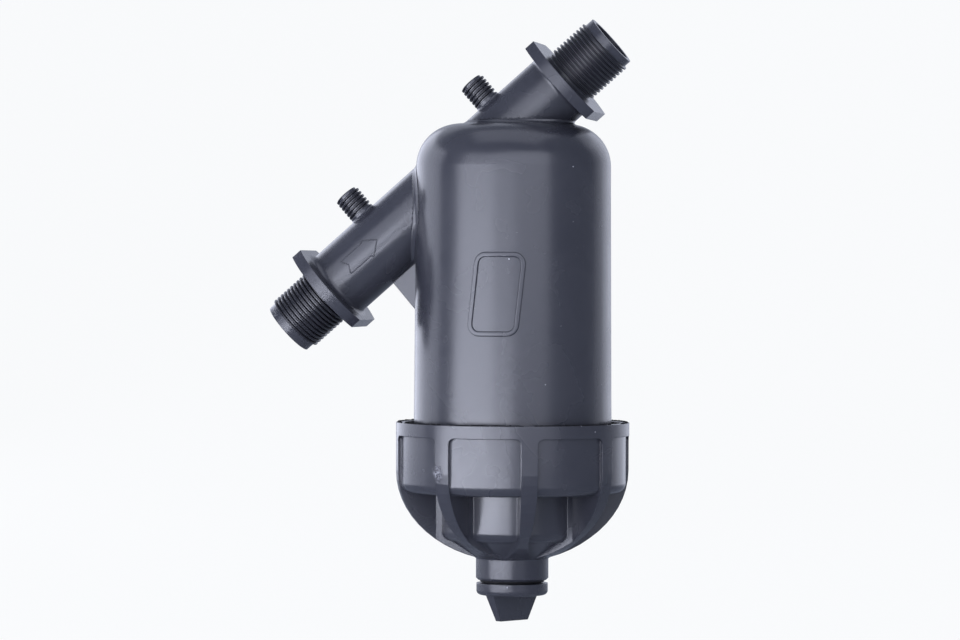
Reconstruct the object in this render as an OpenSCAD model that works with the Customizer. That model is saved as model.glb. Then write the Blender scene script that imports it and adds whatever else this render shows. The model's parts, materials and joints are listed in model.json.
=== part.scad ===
// Irrigation disc filter: a moulded housing on a slanted pipe line, a ribbed screw cap,
// a cartridge of stacked discs inside, and a drain plug in the neck of the cap.
// Heights are measured from the top of the cap rim, upwards along the bowl axis.
// Every piece is then moved so that the origin is the centre of the inlet's open end.

/* [Pipe line] */
// Angle of the pipe line above the horizontal
pipe_angle = 41.3; // [38:0.1:44]
// Outside diameter of the plain pipe
pipe_d = 39.2; // [36:0.1:42]
// Height at which the pipe line crosses the bowl axis
line_z = 159; // [156:1:162]
// Distance along the pipe from the bowl axis to the outlet mouth
outlet_reach = 70.8; // [69:0.1:90]
// Distance along the pipe from the bowl axis to the inlet mouth
inlet_reach = 165.4; // [155:0.1:190]
// Bore of the inlet and outlet passages
bore_d = 25; // [20:0.5:26]
// Root diameter of the one-inch threads at both ends
end_root_d = 30.3; // [29.5:0.1:31]
// Length of a threaded end, from its flange to its mouth
end_len = 30.3; // [24:0.1:32]
// Diameter of the wrench flanges
flange_d = 62.8; // [58:0.1:68]
// Distance between the two flats of a flange
flange_flats = 50; // [47:0.5:54]
// Thickness of the flanges
flange_t = 6; // [5:0.1:8]
// Fillet where the pipe meets a flange
flange_fillet = 3; // [1:0.5:4]

/* [Nipples] */
// Root diameter of the threaded nipples
nipple_root_d = 12; // [11:0.1:13]
// Height of a nipple above the pipe
nipple_h = 14.4; // [10:0.1:18]
// Diameter of the plain collar at the foot of a nipple
nipple_foot_d = 14.2; // [13.5:0.1:16]
// Height of that collar above the pipe
nipple_foot_h = 1.4; // [1:0.1:2]
// Distance along the pipe from each mouth to its nipple
nipple_inset = 72.2; // [70:0.1:76]
// Bore of a nipple, blind until it is drilled through
nipple_bore_d = 5; // [3:0.5:6]
// Wall left between a nipple's bore and the water passage
nipple_membrane = 2; // [1:0.1:3]

/* [Housing body] */
// Outside radius of the body at the cap rim
body_r = 53.4; // [52.8:0.1:54.4]
// Outside radius of the body at its shoulder
body_top_r = 52.6; // [51.5:0.1:53]
// Height of the top of the body
body_h = 161; // [158:1:164]
// Radius of the rounded shoulder
shoulder_r = 23; // [20:0.5:26]
// Wall of the moulded housing
wall = 4; // [3:0.1:4.5]
// Outside radius of the threaded collar at its root
collar_r = 56; // [55.5:0.1:56.2]
// Depth of the top of the collar below the cap rim
collar_drop = 3; // [2:0.5:4]
// Thickness of the web under the inlet pipe
web_t = 3; // [2:0.5:5]
// Reach of the web out from the body
web_reach = 12.5; // [8:0.5:16]
// Fall of the web's lower edge towards the body
web_drop = 18; // [10:0.5:20]

/* [Cartridge socket] */
// Inside radius of the socket that takes the cartridge
socket_r = 20; // [19:0.5:21]
// Wall of the socket
socket_wall = 5; // [4:0.5:5.5]
// Height of the socket's mouth
socket_z = 118; // [114:1:122]
// Height of the socket's roof
socket_roof_z = 149; // [146:1:152]
// Distance from the bowl axis to the blind end of the inlet bore
inlet_stop = 26; // [24:1:32]
// Distance that the outlet bore runs on past the bowl axis
outlet_start = 10; // [6:1:12]

/* [Cap] */
// Outside radius of the cap rim
rim_r = 63; // [62.9:0.1:65]
// Height of the plain rim
rim_h = 6.9; // [6:0.1:10]
// Depth at which the ribs start to curve in
rib_start = 26; // [24:0.5:28]
// Depth of that curve, from its start down to the axis
rib_drop = 49.4; // [48:0.1:52]
// Number of ribs
rib_count = 8; // [6:1:10]
// Width of a rib under the rim
rib_top_w = 9; // [7:0.1:10]
// Width of a rib where it is narrowest
rib_low_w = 5; // [4:0.1:6]
// Distance from the axis at which the ribs start to widen towards the neck
rib_flare_r = 42; // [40:0.5:46]
// Corner radius at the top of the pockets between the ribs
pocket_corner = 3; // [1:0.5:4]
// Angle at which the ribs stop when the cap is tight
cap_clock = 18.4; // [0:0.1:45]
// Outside radius of the upper step of the bowl
step_r = 61.2; // [60.8:0.1:61.6]
// Depth of the underside of the upper step
step_depth = 37.6; // [36.5:0.1:40]
// Outside radius of the lower step of the bowl
sump_r = 39; // [37:0.1:41]
// Depth of the underside of the lower step
sump_depth = 63.4; // [62:0.1:66]
// Rounding of the lower edges of both steps
step_edge = 5; // [3:0.1:6]
// Wall of the cap
cap_wall = 3; // [2.5:0.1:3.5]
// Inside radius of the cap around the threads
cap_bore_r = 58.6; // [58.4:0.1:59]
// Outside radius of the neck
neck_r = 19.6; // [19.2:0.1:21]
// Depth at which the neck starts
neck_top = 73.4; // [72:0.1:75]
// Depth of the end of the neck
neck_end = 85; // [83:0.1:88]
// Bevel on the edge of the neck
neck_bevel = 1.2; // [0.6:0.1:1.6]

/* [Drain plug] */
// Root diameter of the plug's thread
plug_root_d = 26.4; // [25:0.1:27]
// Inside diameter of the neck around the plug's thread
plug_bore_d = 30.6; // [30:0.1:31]
// Length of the plug's threaded shank above the neck's end
plug_len = 13.5; // [11:0.5:14]
// Radius of the plug's flange
plug_flange_r = 19.3; // [18.6:0.1:21]
// Thickness of the plug's flange
plug_flange_t = 6.4; // [5:0.1:8]
// Rounding of the flange's lower edge
plug_edge = 2.4; // [1:0.1:3]
// Open gap between the neck and the plug's flange
plug_gap = 1.7; // [1.2:0.1:2]
// Width of the wing at the flange
wing_w = 34; // [30:0.5:36]
// Width of the wing at its tip
wing_tip_w = 20.5; // [16:0.5:24]
// Height of the wing
wing_h = 14; // [10:0.5:18]
// Thickness of the wing at the flange
wing_t = 5.6; // [5:0.1:8]
// Thickness of the wing at its tip
wing_tip_t = 3.8; // [3:0.1:4.8]
// Angle at which the wing stops when the plug is tight
wing_clock = 55; // [0:1:180]

/* [Cartridge] */
// Outside radius of a filter disc
disc_r = 36; // [33:0.5:38]
// Inside radius of a filter disc
disc_hole_r = 25.2; // [24.6:0.1:26]
// Thickness of a filter disc over its ridges
disc_t = 1.37; // [1.2:0.01:1.4]
// Depth of the grooves between two discs, which sets the filter grade
disc_gap = 0.13; // [0.05:0.01:0.2]
// Number of filter discs
disc_count = 92; // [80:1:94]
// Radius of the plates above and below the discs
plate_r = 38; // [36:0.5:40]
// Thickness of both plates
plate_t = 5; // [4:0.5:6]
// Wall of the slotted tube inside the discs
cage_wall = 3; // [2:0.5:4]
// Number of slots round the slotted tube
slot_count = 6; // [4:1:8]
// Number of slots along the slotted tube
slot_rows = 4; // [2:1:6]
// Width of a slot
slot_w = 15; // [10:0.5:17]
// Length of the solid band between the rows of slots
band_h = 6; // [4:0.5:8]
// Length of the spigot in the socket
spigot_h = 15; // [12:0.5:18]
// Wall of the spigot
spigot_wall = 4; // [3.5:0.1:5]
// Root diameter of the stud that the nut turns on
stud_d = 14; // [12:0.5:16]
// Height of the nut's hub
nut_h = 11; // [9:0.5:13]
// Span of the nut's wings
nut_span = 44; // [36:1:50]
// Thickness of the nut's wings
nut_wing_t = 5; // [4:0.5:6]

/* [Seals] */
// Cord of the seal between the housing and the cap
cap_cord = 4.4; // [3.6:0.1:5]
// Cord of the seal between the cap and the drain plug
plug_cord = 3; // [2.6:0.1:3.2]
// Cord of the seal on the cartridge's spigot
spine_cord = 2.6; // [2.2:0.1:3]
// Clearance of a seal from its seats before it is squeezed
seal_gap = 0.3; // [0.2:0.05:0.4]
// Clearance between pieces that slide into each other
slide_gap = 0.4; // [0.3:0.05:0.6]

/* [Hidden] */
// Angle between the corners of the curve that the ribs follow
rib_facet = 6;
$fn = 96;
plastic = "#2b2c2e";
rubber = "#161616";
disc_red = "#a8322a";
// Overrun of a cut past the face that it opens
cut = 1;

bore_r = bore_d / 2;
pipe_r = pipe_d / 2;
inlet_mouth = [-inlet_reach * cos(pipe_angle), 0, line_z - inlet_reach * sin(pipe_angle)];
nipple_places = [outlet_reach - nipple_inset, nipple_inset - inlet_reach];

// Seat of the cap seal, and the end of the housing above it
cap_seat = -(step_depth - cap_wall);
collar_end = cap_seat + cap_cord + 2 * seal_gap;
collar_mid_r = (collar_r + body_r - wall) / 2;
cap_seal_r = collar_mid_r + (collar_r - collar_mid_r) / 4;
cap_seat_r = cap_seal_r + cap_cord / 2 + slide_gap;

// Seat of the drain seal, between the neck and the plug's flange
flange_top = -(neck_end + plug_gap);
plug_seal_z = flange_top + seal_gap + plug_cord / 2;
plug_seat = plug_seal_z + plug_cord / 2 + seal_gap;
plug_shoulder_r = (plug_root_d + plug_bore_d) / 4;
plug_seal_r = plug_shoulder_r + seal_gap + plug_cord / 2;
plug_seat_r = plug_seal_r + plug_cord / 2 + slide_gap;

// Heights along the cartridge, from the socket's mouth down
plate_top = socket_z - slide_gap;
stack_top = plate_top - plate_t;
disc_pitch = disc_t + disc_gap;
stack_end = stack_top - disc_count * disc_pitch;
end_plate_z = stack_end - plate_t;
spigot_r = socket_r - slide_gap;
cage_r = disc_hole_r - slide_gap;
cage_end = stack_end + plate_t / 2;
spine_seal_z = plate_top + spigot_h / 2;
spine_groove_r = spigot_r + slide_gap - spine_cord;

// Height of the underside of the pipe at a distance x along the horizontal
function pipe_under(x) = line_z + x * tan(pipe_angle) - pipe_r / cos(pipe_angle);

// Point on the side of a rib, seen from the middle of the pocket beside it
function rib_side(r, w) = let (a = 180 / rib_count - asin(w / 2 / r)) [r * cos(a), r * sin(a)];

// Moves a piece from the bowl's own heights to the part's frame
module in_frame() translate(-inlet_mouth) children();

// Places children at a distance along the pipe, with X along the flow and Z towards the nipples
module along_pipe(distance) translate([0, 0, line_z]) rotate([0, -pipe_angle, 0])
    translate([distance, 0, 0]) children();

// Round bar along X
module x_bar(length, r) rotate([0, 90, 0]) cylinder(h = length, r = r);

// Plain ring of round cord
module cord_ring(r, z, cord) translate([0, 0, z]) rotate_extrude() translate([r, 0]) circle(d = cord);

// Half section of a drum that ends in a rounded lower edge
module drum_section(r, top, depth, edge) {
    translate([0, -depth + edge]) square([r, depth - edge - top]);
    translate([0, -depth]) square([r - edge, edge]);
    translate([r - edge, -depth + edge]) circle(edge);
}

// Half section of the body with its rounded shoulder, drawn in by an inset for the cavity
module body_section(inset) {
    edge = shoulder_r - inset;
    side = body_top_r - inset;
    polygon([[0, 0], [body_r - inset, 0], [side, body_h - shoulder_r], [0, body_h - shoulder_r]]);
    translate([0, body_h - shoulder_r]) square([side - edge, edge]);
    intersection() {
        translate([side - edge, body_h - shoulder_r]) circle(edge);
        translate([side - edge, body_h - shoulder_r]) square(edge);
    }
}

// Concave ring of fillet round a pipe, standing on a face at x = 0
module fillet_ring(r, edge) rotate([0, 90, 0]) rotate_extrude() difference() {
    translate([r - cut, 0]) square([edge + cut, edge]);
    translate([r + edge, edge]) circle(edge);
}

// Round flange with two wrench flats and a fillet, and the threaded end beyond it, looking along +X
module pipe_end() {
    intersection() {
        x_bar(flange_t, flange_d / 2);
        translate([0, -flange_d / 2, -flange_flats / 2]) cube([flange_t, flange_d, flange_flats]);
    }
    mirror([1, 0, 0]) fillet_ring(pipe_r, flange_fillet);
    x_bar(flange_t + end_len, end_root_d / 2);
}

module pipe_outside() {
    flange_back = flange_t + end_len;
    along_pipe(flange_back - inlet_reach) x_bar(inlet_reach + outlet_reach - 2 * flange_back, pipe_r);
    along_pipe(outlet_reach - flange_back) pipe_end();
    along_pipe(flange_back - inlet_reach) mirror([1, 0, 0]) pipe_end();
    for (place = nipple_places) along_pipe(place) {
        cylinder(h = pipe_r + nipple_h, d = nipple_root_d);
        cylinder(h = pipe_r + nipple_foot_h, d = nipple_foot_d);
    }
}

module body_outside() rotate_extrude() {
    body_section(0);
    translate([0, -collar_drop]) square([body_r, collar_drop]);
    translate([0, collar_end]) square([collar_r, -collar_drop - collar_end]);
}

module web() {
    outer_x = -body_r - web_reach;
    inner_x = -body_top_r + wall / 2;
    rotate([90, 0, 0]) linear_extrude(web_t, center = true) polygon([
        [outer_x, pipe_under(outer_x)],
        [outer_x + web_reach / 2, pipe_under(outer_x) + web_reach],
        [inner_x, pipe_under(inner_x)],
        [inner_x, pipe_under(outer_x) - web_drop]
    ]);
}

// Water space round the cartridge, with the inlet bore that feeds it
module inlet_space() difference() {
    union() {
        rotate_extrude() {
            body_section(wall);
            translate([0, collar_end - cut]) square([body_r - wall, cut - collar_end]);
        }
        along_pipe(-inlet_reach - cut) x_bar(inlet_reach - inlet_stop + cut, bore_r);
    }
    translate([0, 0, socket_z]) cylinder(h = body_h - socket_z, r = socket_r + socket_wall);
    along_pipe(-outlet_start - wall) x_bar(outlet_start + wall + outlet_reach / 2, bore_r + wall);
}

module housing() color(plastic) in_frame() difference() {
    union() {
        body_outside();
        pipe_outside();
        web();
    }
    inlet_space();
    translate([0, 0, socket_z - cut]) cylinder(h = socket_roof_z - socket_z + cut, r = socket_r);
    along_pipe(-outlet_start) x_bar(outlet_start + outlet_reach + cut, bore_r);
    for (place = nipple_places)
        along_pipe(place) translate([0, 0, bore_r + nipple_membrane])
            cylinder(h = pipe_r + nipple_h - bore_r, d = nipple_bore_d);
}

// Half section of the outside of the cap's bowl, without its ribs
module bowl_section() {
    drum_section(step_r, rim_h / 2, step_depth, step_edge);
    drum_section(sump_r, step_depth - cap_wall, sump_depth, step_edge);
    polygon([[0, -sump_depth], [sump_r - step_edge, -sump_depth], [neck_r, -neck_top], [0, -neck_top]]);
    polygon([
        [0, -neck_top], [neck_r, -neck_top], [neck_r, -neck_end + neck_bevel],
        [neck_r - neck_bevel, -neck_end], [0, -neck_end]
    ]);
}

// Half section of the space inside the cap
module bowl_space() {
    sump_inside = sump_r - cap_wall;
    translate([0, collar_end - slide_gap]) square([cap_bore_r, cut - collar_end + slide_gap]);
    translate([0, cap_seat]) square([cap_seat_r, collar_end - cap_seat]);
    drum_section(sump_inside, -cap_seat - cut, sump_depth - cap_wall, step_edge);
    polygon([
        [0, cap_wall - sump_depth], [sump_inside - step_edge, cap_wall - sump_depth],
        [plug_bore_d / 2, cap_wall - neck_top], [0, cap_wall - neck_top]
    ]);
    translate([0, -neck_end - cut]) square([plug_bore_d / 2, neck_end - neck_top + cap_wall + cut]);
    translate([0, -neck_end - cut]) square([plug_seat_r, neck_end + plug_seat + cut]);
}

// Half section round the rim and the ribs: upright at first, then a quarter of an ellipse
module rib_section() polygon([
    [0, 0], [rim_r, 0],
    for (a = [0 : rib_facet : 90]) [rim_r * cos(a), -rib_start - rib_drop * sin(a)]
]);

// Cutter for one pocket between two ribs, with rounded upper corners
module pocket() {
    outer = rib_side(rim_r, rib_top_w);
    waist = rib_side(rib_flare_r, rib_low_w);
    reach = outer * (rim_r + cut) / rim_r;
    corner = [outer.y - pocket_corner, -rim_h - pocket_corner];
    round = [for (a = [0 : 30 : 90]) pocket_corner * [cos(a), sin(a)]];
    intersection() {
        translate([0, 0, -neck_end]) linear_extrude(neck_end) polygon([
            [neck_r - neck_bevel, 0], [waist.x, -waist.y], [reach.x, -reach.y],
            [(rim_r + cut) / cos(180 / rib_count), 0], [reach.x, reach.y], [waist.x, waist.y]
        ]);
        rotate([90, 0, 90]) linear_extrude(2 * rim_r) polygon([
            [outer.y + cut, -neck_end - cut], [outer.y + cut, corner.y],
            for (p = round) corner + p,
            for (i = [len(round) - 1 : -1 : 0]) [-corner.x - round[i].x, corner.y + round[i].y],
            [-outer.y - cut, corner.y], [-outer.y - cut, -neck_end - cut]
        ]);
    }
}

module cap_ribs() difference() {
    rotate_extrude() rib_section();
    for (i = [0 : rib_count - 1]) rotate(cap_clock + (i + 0.5) * 360 / rib_count) pocket();
}

module cap() color(plastic) in_frame() difference() {
    union() {
        rotate_extrude() bowl_section();
        cap_ribs();
    }
    rotate_extrude() bowl_space();
}

module cap_seal() color(rubber) in_frame()
    cord_ring(cap_seal_r, cap_seat + seal_gap + cap_cord / 2, cap_cord);

module wing() {
    rotate([90, 0, 0]) intersection() {
        linear_extrude(wing_w, center = true) polygon([
            [-wing_w / 2, 0], [-wing_tip_w / 2, -wing_h], [wing_tip_w / 2, -wing_h], [wing_w / 2, 0]
        ]);
        rotate([0, 90, 0]) linear_extrude(wing_w, center = true) polygon([
            [-wing_t / 2, 0], [-wing_tip_t / 2, -wing_h], [wing_tip_t / 2, -wing_h], [wing_t / 2, 0]
        ]);
    }
}

module drain_plug() color(plastic) in_frame() {
    rotate_extrude() {
        translate([0, flange_top]) drum_section(plug_flange_r, 0, plug_flange_t, plug_edge);
        translate([0, flange_top]) square([plug_shoulder_r, plug_seat - flange_top]);
        translate([0, plug_seat]) square([plug_root_d / 2, plug_len - plug_seat - neck_end]);
    }
    translate([0, 0, flange_top - plug_flange_t]) rotate(wing_clock) wing();
}

module drain_seal() color(rubber) in_frame() cord_ring(plug_seal_r, plug_seal_z, plug_cord);

// Slotted tube that the discs slide on to, closed below by the hub of the stud
module cage() {
    span = stack_top - cage_end - plate_t;
    pitch = span / slot_rows;
    difference() {
        translate([0, 0, cage_end]) cylinder(h = stack_top - cage_end, r = cage_r);
        translate([0, 0, cage_end + plate_t]) cylinder(h = stack_top - cage_end, r = cage_r - cage_wall);
        for (row = [0 : slot_rows - 1], i = [0 : slot_count - 1])
            translate([0, 0, cage_end + plate_t + row * pitch]) rotate(i * 360 / slot_count)
                translate([0, -slot_w / 2, band_h / 2]) cube([cage_r + cut, slot_w, pitch - band_h]);
    }
}

module spine() color(plastic) in_frame() {
    difference() {
        union() {
            translate([0, 0, stack_top]) cylinder(h = plate_t, r = plate_r);
            translate([0, 0, stack_top]) cylinder(h = plate_t + spigot_h, r = spigot_r);
        }
        translate([0, 0, stack_top - cut])
            cylinder(h = plate_t + spigot_h + 2 * cut, r = spigot_r - spigot_wall);
        translate([0, 0, spine_seal_z - spine_cord / 2 - slide_gap / 2]) difference() {
            cylinder(h = spine_cord + slide_gap, r = spigot_r + cut);
            cylinder(h = spine_cord + slide_gap, r = spine_groove_r);
        }
    }
    cage();
    translate([0, 0, end_plate_z - nut_h - slide_gap])
        cylinder(h = cage_end - end_plate_z + nut_h + slide_gap, d = stud_d);
}

module spine_seal() color(rubber) in_frame()
    cord_ring(spine_groove_r + spine_cord / 2, spine_seal_z, spine_cord);

module filter_discs() color(disc_red) in_frame()
    for (i = [0 : disc_count - 1]) translate([0, 0, stack_end + i * disc_pitch]) difference() {
        cylinder(h = disc_t, r = disc_r);
        translate([0, 0, -cut]) cylinder(h = disc_t + 2 * cut, r = disc_hole_r);
    }

module end_plate() color(plastic) in_frame() translate([0, 0, end_plate_z]) difference() {
    cylinder(h = plate_t, r = plate_r);
    translate([0, 0, -cut]) cylinder(h = plate_t + 2 * cut, d = stud_d + 2 * slide_gap);
}

module clamp_nut() color(plastic) in_frame() translate([0, 0, end_plate_z - nut_h]) difference() {
    union() {
        cylinder(h = nut_h, d = 2 * stud_d);
        translate([-nut_span / 2, -nut_wing_t / 2, 0]) cube([nut_span, nut_wing_t, nut_h]);
    }
    translate([0, 0, -cut]) cylinder(h = nut_h + 2 * cut, d = stud_d + 2 * slide_gap);
}

housing();
cap();
cap_seal();
drain_plug();
drain_seal();
spine();
spine_seal();
filter_discs();
end_plate();
clamp_nut();
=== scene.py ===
"""Finishes and fine detail of an irrigation disc filter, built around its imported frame."""

from __future__ import annotations

import json
import logging
import math
from collections.abc import Callable, Sequence
from dataclasses import dataclass, replace
from enum import Enum
from functools import partial

import bmesh
import bpy
from mathutils import Matrix, Vector

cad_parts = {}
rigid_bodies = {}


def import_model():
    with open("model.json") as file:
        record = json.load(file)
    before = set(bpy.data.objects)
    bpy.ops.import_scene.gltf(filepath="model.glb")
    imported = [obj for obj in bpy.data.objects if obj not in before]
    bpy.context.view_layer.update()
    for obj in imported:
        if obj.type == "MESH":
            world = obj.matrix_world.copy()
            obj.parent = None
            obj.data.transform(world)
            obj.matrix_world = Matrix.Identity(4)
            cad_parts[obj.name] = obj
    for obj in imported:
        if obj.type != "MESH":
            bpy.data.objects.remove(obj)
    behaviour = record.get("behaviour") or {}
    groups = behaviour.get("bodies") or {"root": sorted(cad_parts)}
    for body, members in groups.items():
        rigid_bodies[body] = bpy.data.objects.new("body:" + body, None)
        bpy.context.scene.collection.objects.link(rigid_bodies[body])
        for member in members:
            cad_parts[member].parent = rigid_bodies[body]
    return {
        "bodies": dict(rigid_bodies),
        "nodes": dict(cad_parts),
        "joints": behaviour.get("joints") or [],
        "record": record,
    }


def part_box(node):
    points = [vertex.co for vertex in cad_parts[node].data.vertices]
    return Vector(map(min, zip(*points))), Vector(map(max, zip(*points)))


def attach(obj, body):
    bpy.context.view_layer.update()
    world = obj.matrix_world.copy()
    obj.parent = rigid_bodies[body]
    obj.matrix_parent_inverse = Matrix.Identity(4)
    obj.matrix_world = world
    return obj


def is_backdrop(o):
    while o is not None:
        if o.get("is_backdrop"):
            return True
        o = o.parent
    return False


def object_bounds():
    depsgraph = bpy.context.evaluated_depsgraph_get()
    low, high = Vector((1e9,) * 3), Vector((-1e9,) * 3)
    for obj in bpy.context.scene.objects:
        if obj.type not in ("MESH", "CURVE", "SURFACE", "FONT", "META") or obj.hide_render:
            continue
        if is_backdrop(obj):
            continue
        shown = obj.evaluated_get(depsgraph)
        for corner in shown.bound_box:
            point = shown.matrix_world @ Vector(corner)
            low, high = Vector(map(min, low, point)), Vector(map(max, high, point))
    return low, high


LOG = logging.getLogger("disc_filter")
MM = 0.001
IMAGE_WIDTH = 960
SENSOR_WIDTH = 36.0

Colour = tuple[float, float, float]


class Slot(Enum):
    """Material slots of the record."""

    BLACK = "black_plastic"
    RUBBER = "seal_rubber"
    DISC = "disc_plastic"


class Body(Enum):
    """Bodies that a piece can ride on."""

    HOUSING = "housing"
    CAP = "cap"
    PLUG = "drain_plug"


class Nodes:
    """Places and links nodes in one tree."""

    def __init__(self, tree: bpy.types.NodeTree) -> None:
        """Keeps the tree that the nodes go into."""
        self.tree = tree

    def add(self, kind: str, inputs: dict | None = None, **settings: object) -> bpy.types.Node:
        """Adds a node, sets its options and fills its inputs.

        Args:
            kind: Blender's name for the node.
            inputs: Values or output sockets by input name, identifier or index.
            settings: Options of the node by attribute name.

        Returns:
            The new node.
        """
        node = self.tree.nodes.new(kind)
        for option, value in settings.items():
            setattr(node, option, value)
        for key, value in (inputs or {}).items():
            self.fill(self.socket(node, key), value)
        return node

    @staticmethod
    def socket(node: bpy.types.Node, key: str | int) -> bpy.types.NodeSocket:
        """Finds an input by index, identifier or name.

        Args:
            node: The node that has it.
            key: Its index, identifier or name.

        Returns:
            The input's socket.
        """
        if isinstance(key, int):
            return node.inputs[key]
        for found in node.inputs:
            if found.identifier == key:
                return found
        return node.inputs[key]

    def fill(self, target: bpy.types.NodeSocket, value: object) -> None:
        """Links a socket or sets a plain value.

        Args:
            target: The input to fill.
            value: An output socket or a plain value.
        """
        if isinstance(value, bpy.types.NodeSocket):
            self.tree.links.new(value, target)
        else:
            target.default_value = value

    def math(self, operation: str, *values: object) -> bpy.types.NodeSocket:
        """Adds one sum and returns its result.

        Args:
            operation: Name of the operation, such as MULTIPLY.
            values: Its operands, as numbers or sockets.

        Returns:
            The result's socket.
        """
        inputs = dict(enumerate(values))
        return self.add("ShaderNodeMath", inputs, operation=operation).outputs[0]

    def vector(self, x: object = 0.0, y: object = 0.0, z: object = 0.0) -> bpy.types.NodeSocket:
        """Joins three values to a vector."""
        return self.add("ShaderNodeCombineXYZ", {0: x, 1: y, 2: z}).outputs[0]

    def blend(self, factor: object, first: object, second: object) -> bpy.types.NodeSocket:
        """Mixes two colours by a factor."""
        inputs = {"Factor_Float": factor, "A_Color": first, "B_Color": second}
        return self.add("ShaderNodeMix", inputs, data_type="RGBA").outputs[2]

    def span(self, value: object, low: float, high: float, start: object, end: object
             ) -> bpy.types.NodeSocket:
        """Maps a value from low..high to start..end, held within them."""
        inputs = {"Value": value, "From Min": low, "From Max": high, "To Min": start, "To Max": end}
        return self.add("ShaderNodeMapRange", inputs).outputs[0]


class MadeTree:
    """A Geometry Nodes tree with named inputs."""

    FLOAT = "NodeSocketFloat"
    WHOLE = "NodeSocketInt"
    MATERIAL = "NodeSocketMaterial"
    GEOMETRY = "NodeSocketGeometry"

    def __init__(self, name: str, inputs: dict[str, str]) -> None:
        """Makes the tree's interface.

        Args:
            name: Name of the tree.
            inputs: Socket types by input name.
        """
        self.tree = bpy.data.node_groups.new(name, "GeometryNodeTree")
        self.tree.interface.new_socket("Geometry", in_out="OUTPUT", socket_type=self.GEOMETRY)
        self.tree.interface.new_socket("Geometry", in_out="INPUT", socket_type=self.GEOMETRY)
        self.identifiers: dict[str, str] = {}
        for label, kind in inputs.items():
            made = self.tree.interface.new_socket(label, in_out="INPUT", socket_type=kind)
            self.identifiers[label] = made.identifier
        self.nodes = Nodes(self.tree)
        self.given = self.nodes.add("NodeGroupInput")

    def value(self, name: str) -> bpy.types.NodeSocket:
        """Gives the socket of a named input."""
        return self.given.outputs[name]

    def end(self, geometry: bpy.types.NodeSocket) -> None:
        """Realizes the shape, gives it its material and closes the tree.

        Args:
            geometry: The finished shape.
        """
        smooth = self.nodes.add("GeometryNodeSetShadeSmooth", {"Geometry": geometry})
        real = self.nodes.add("GeometryNodeRealizeInstances", {"Geometry": smooth.outputs[0]})
        inputs = {"Geometry": real.outputs[0], "Material": self.value("Material")}
        dressed = self.nodes.add("GeometryNodeSetMaterial", inputs)
        self.nodes.add("NodeGroupOutput", {0: dressed.outputs[0]})

    def make(self, name: str, values: dict[str, object], place: Matrix, start: bpy.types.Mesh | None = None
             ) -> bpy.types.Object:
        """Runs the tree and turns its result into a plain mesh.

        Args:
            name: Name of the piece.
            values: Input values by name.
            place: Where the piece goes, applied to its mesh.
            start: Mesh that the tree starts from, if it needs one.

        Returns:
            An object at the origin, without modifiers.
        """
        carrier = bpy.data.objects.new(name + "_carrier", start or bpy.data.meshes.new(name + "_start"))
        bpy.context.scene.collection.objects.link(carrier)
        modifier = carrier.modifiers.new("shape", "NODES")
        modifier.node_group = self.tree
        for label, value in values.items():
            modifier[self.identifiers[label]] = value
        depsgraph = bpy.context.evaluated_depsgraph_get()
        mesh = bpy.data.meshes.new_from_object(carrier.evaluated_get(depsgraph), depsgraph=depsgraph)
        carrier.modifiers.remove(modifier)
        bpy.data.objects.remove(carrier)
        mesh.transform(place)
        return Pieces.from_mesh(name, mesh)


class Pieces:
    """Makes objects and gives them to the frame."""

    MERGE = 0.002 * MM

    @staticmethod
    def from_mesh(name: str, mesh: bpy.types.Mesh) -> bpy.types.Object:
        """Cleans a mesh and puts it in the scene as an object.

        Args:
            name: Name of the piece.
            mesh: Mesh in the part's own frame.

        Returns:
            The object, at the origin.
        """
        shape = bmesh.new()
        shape.from_mesh(mesh)
        bmesh.ops.remove_doubles(shape, verts=shape.verts, dist=Pieces.MERGE)
        bmesh.ops.recalc_face_normals(shape, faces=shape.faces)
        shape.to_mesh(mesh)
        shape.free()
        mesh.name = name
        piece = bpy.data.objects.new(name, mesh)
        bpy.context.scene.collection.objects.link(piece)
        return piece

    @staticmethod
    def from_rings(name: str, rings: Sequence[Sequence[Vector]], material: bpy.types.Material
                   ) -> bpy.types.Object:
        """Makes a closed band from closed cross-sections that follow a closed path.

        Args:
            name: Name of the piece.
            rings: Cross-sections with the same number of points each.
            material: Finish of the piece.

        Returns:
            The object, at the origin.
        """
        size = len(rings[0])
        points = [point for ring in rings for point in ring]
        faces = []
        for row in range(len(rings)):
            after = (row + 1) % len(rings)
            for i in range(size):
                j = (i + 1) % size
                faces.append((row * size + i, row * size + j, after * size + j, after * size + i))
        mesh = bpy.data.meshes.new(name)
        mesh.from_pydata(points, [], faces)
        mesh.materials.append(material)
        for face in mesh.polygons:
            face.use_smooth = True
        return Pieces.from_mesh(name, mesh)

    @staticmethod
    def hand_over(piece: bpy.types.Object, body: Body, slot: Slot) -> None:
        """Lets a piece ride on a body and logs it.

        Args:
            piece: The finished piece.
            body: Body that it rides on.
            slot: Slot that it takes its finish from; not used.
        """
        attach(piece, body.value)
        LOG.info("%s: %d faces, rides on %s", piece.name, len(piece.data.polygons), body.value)


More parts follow.
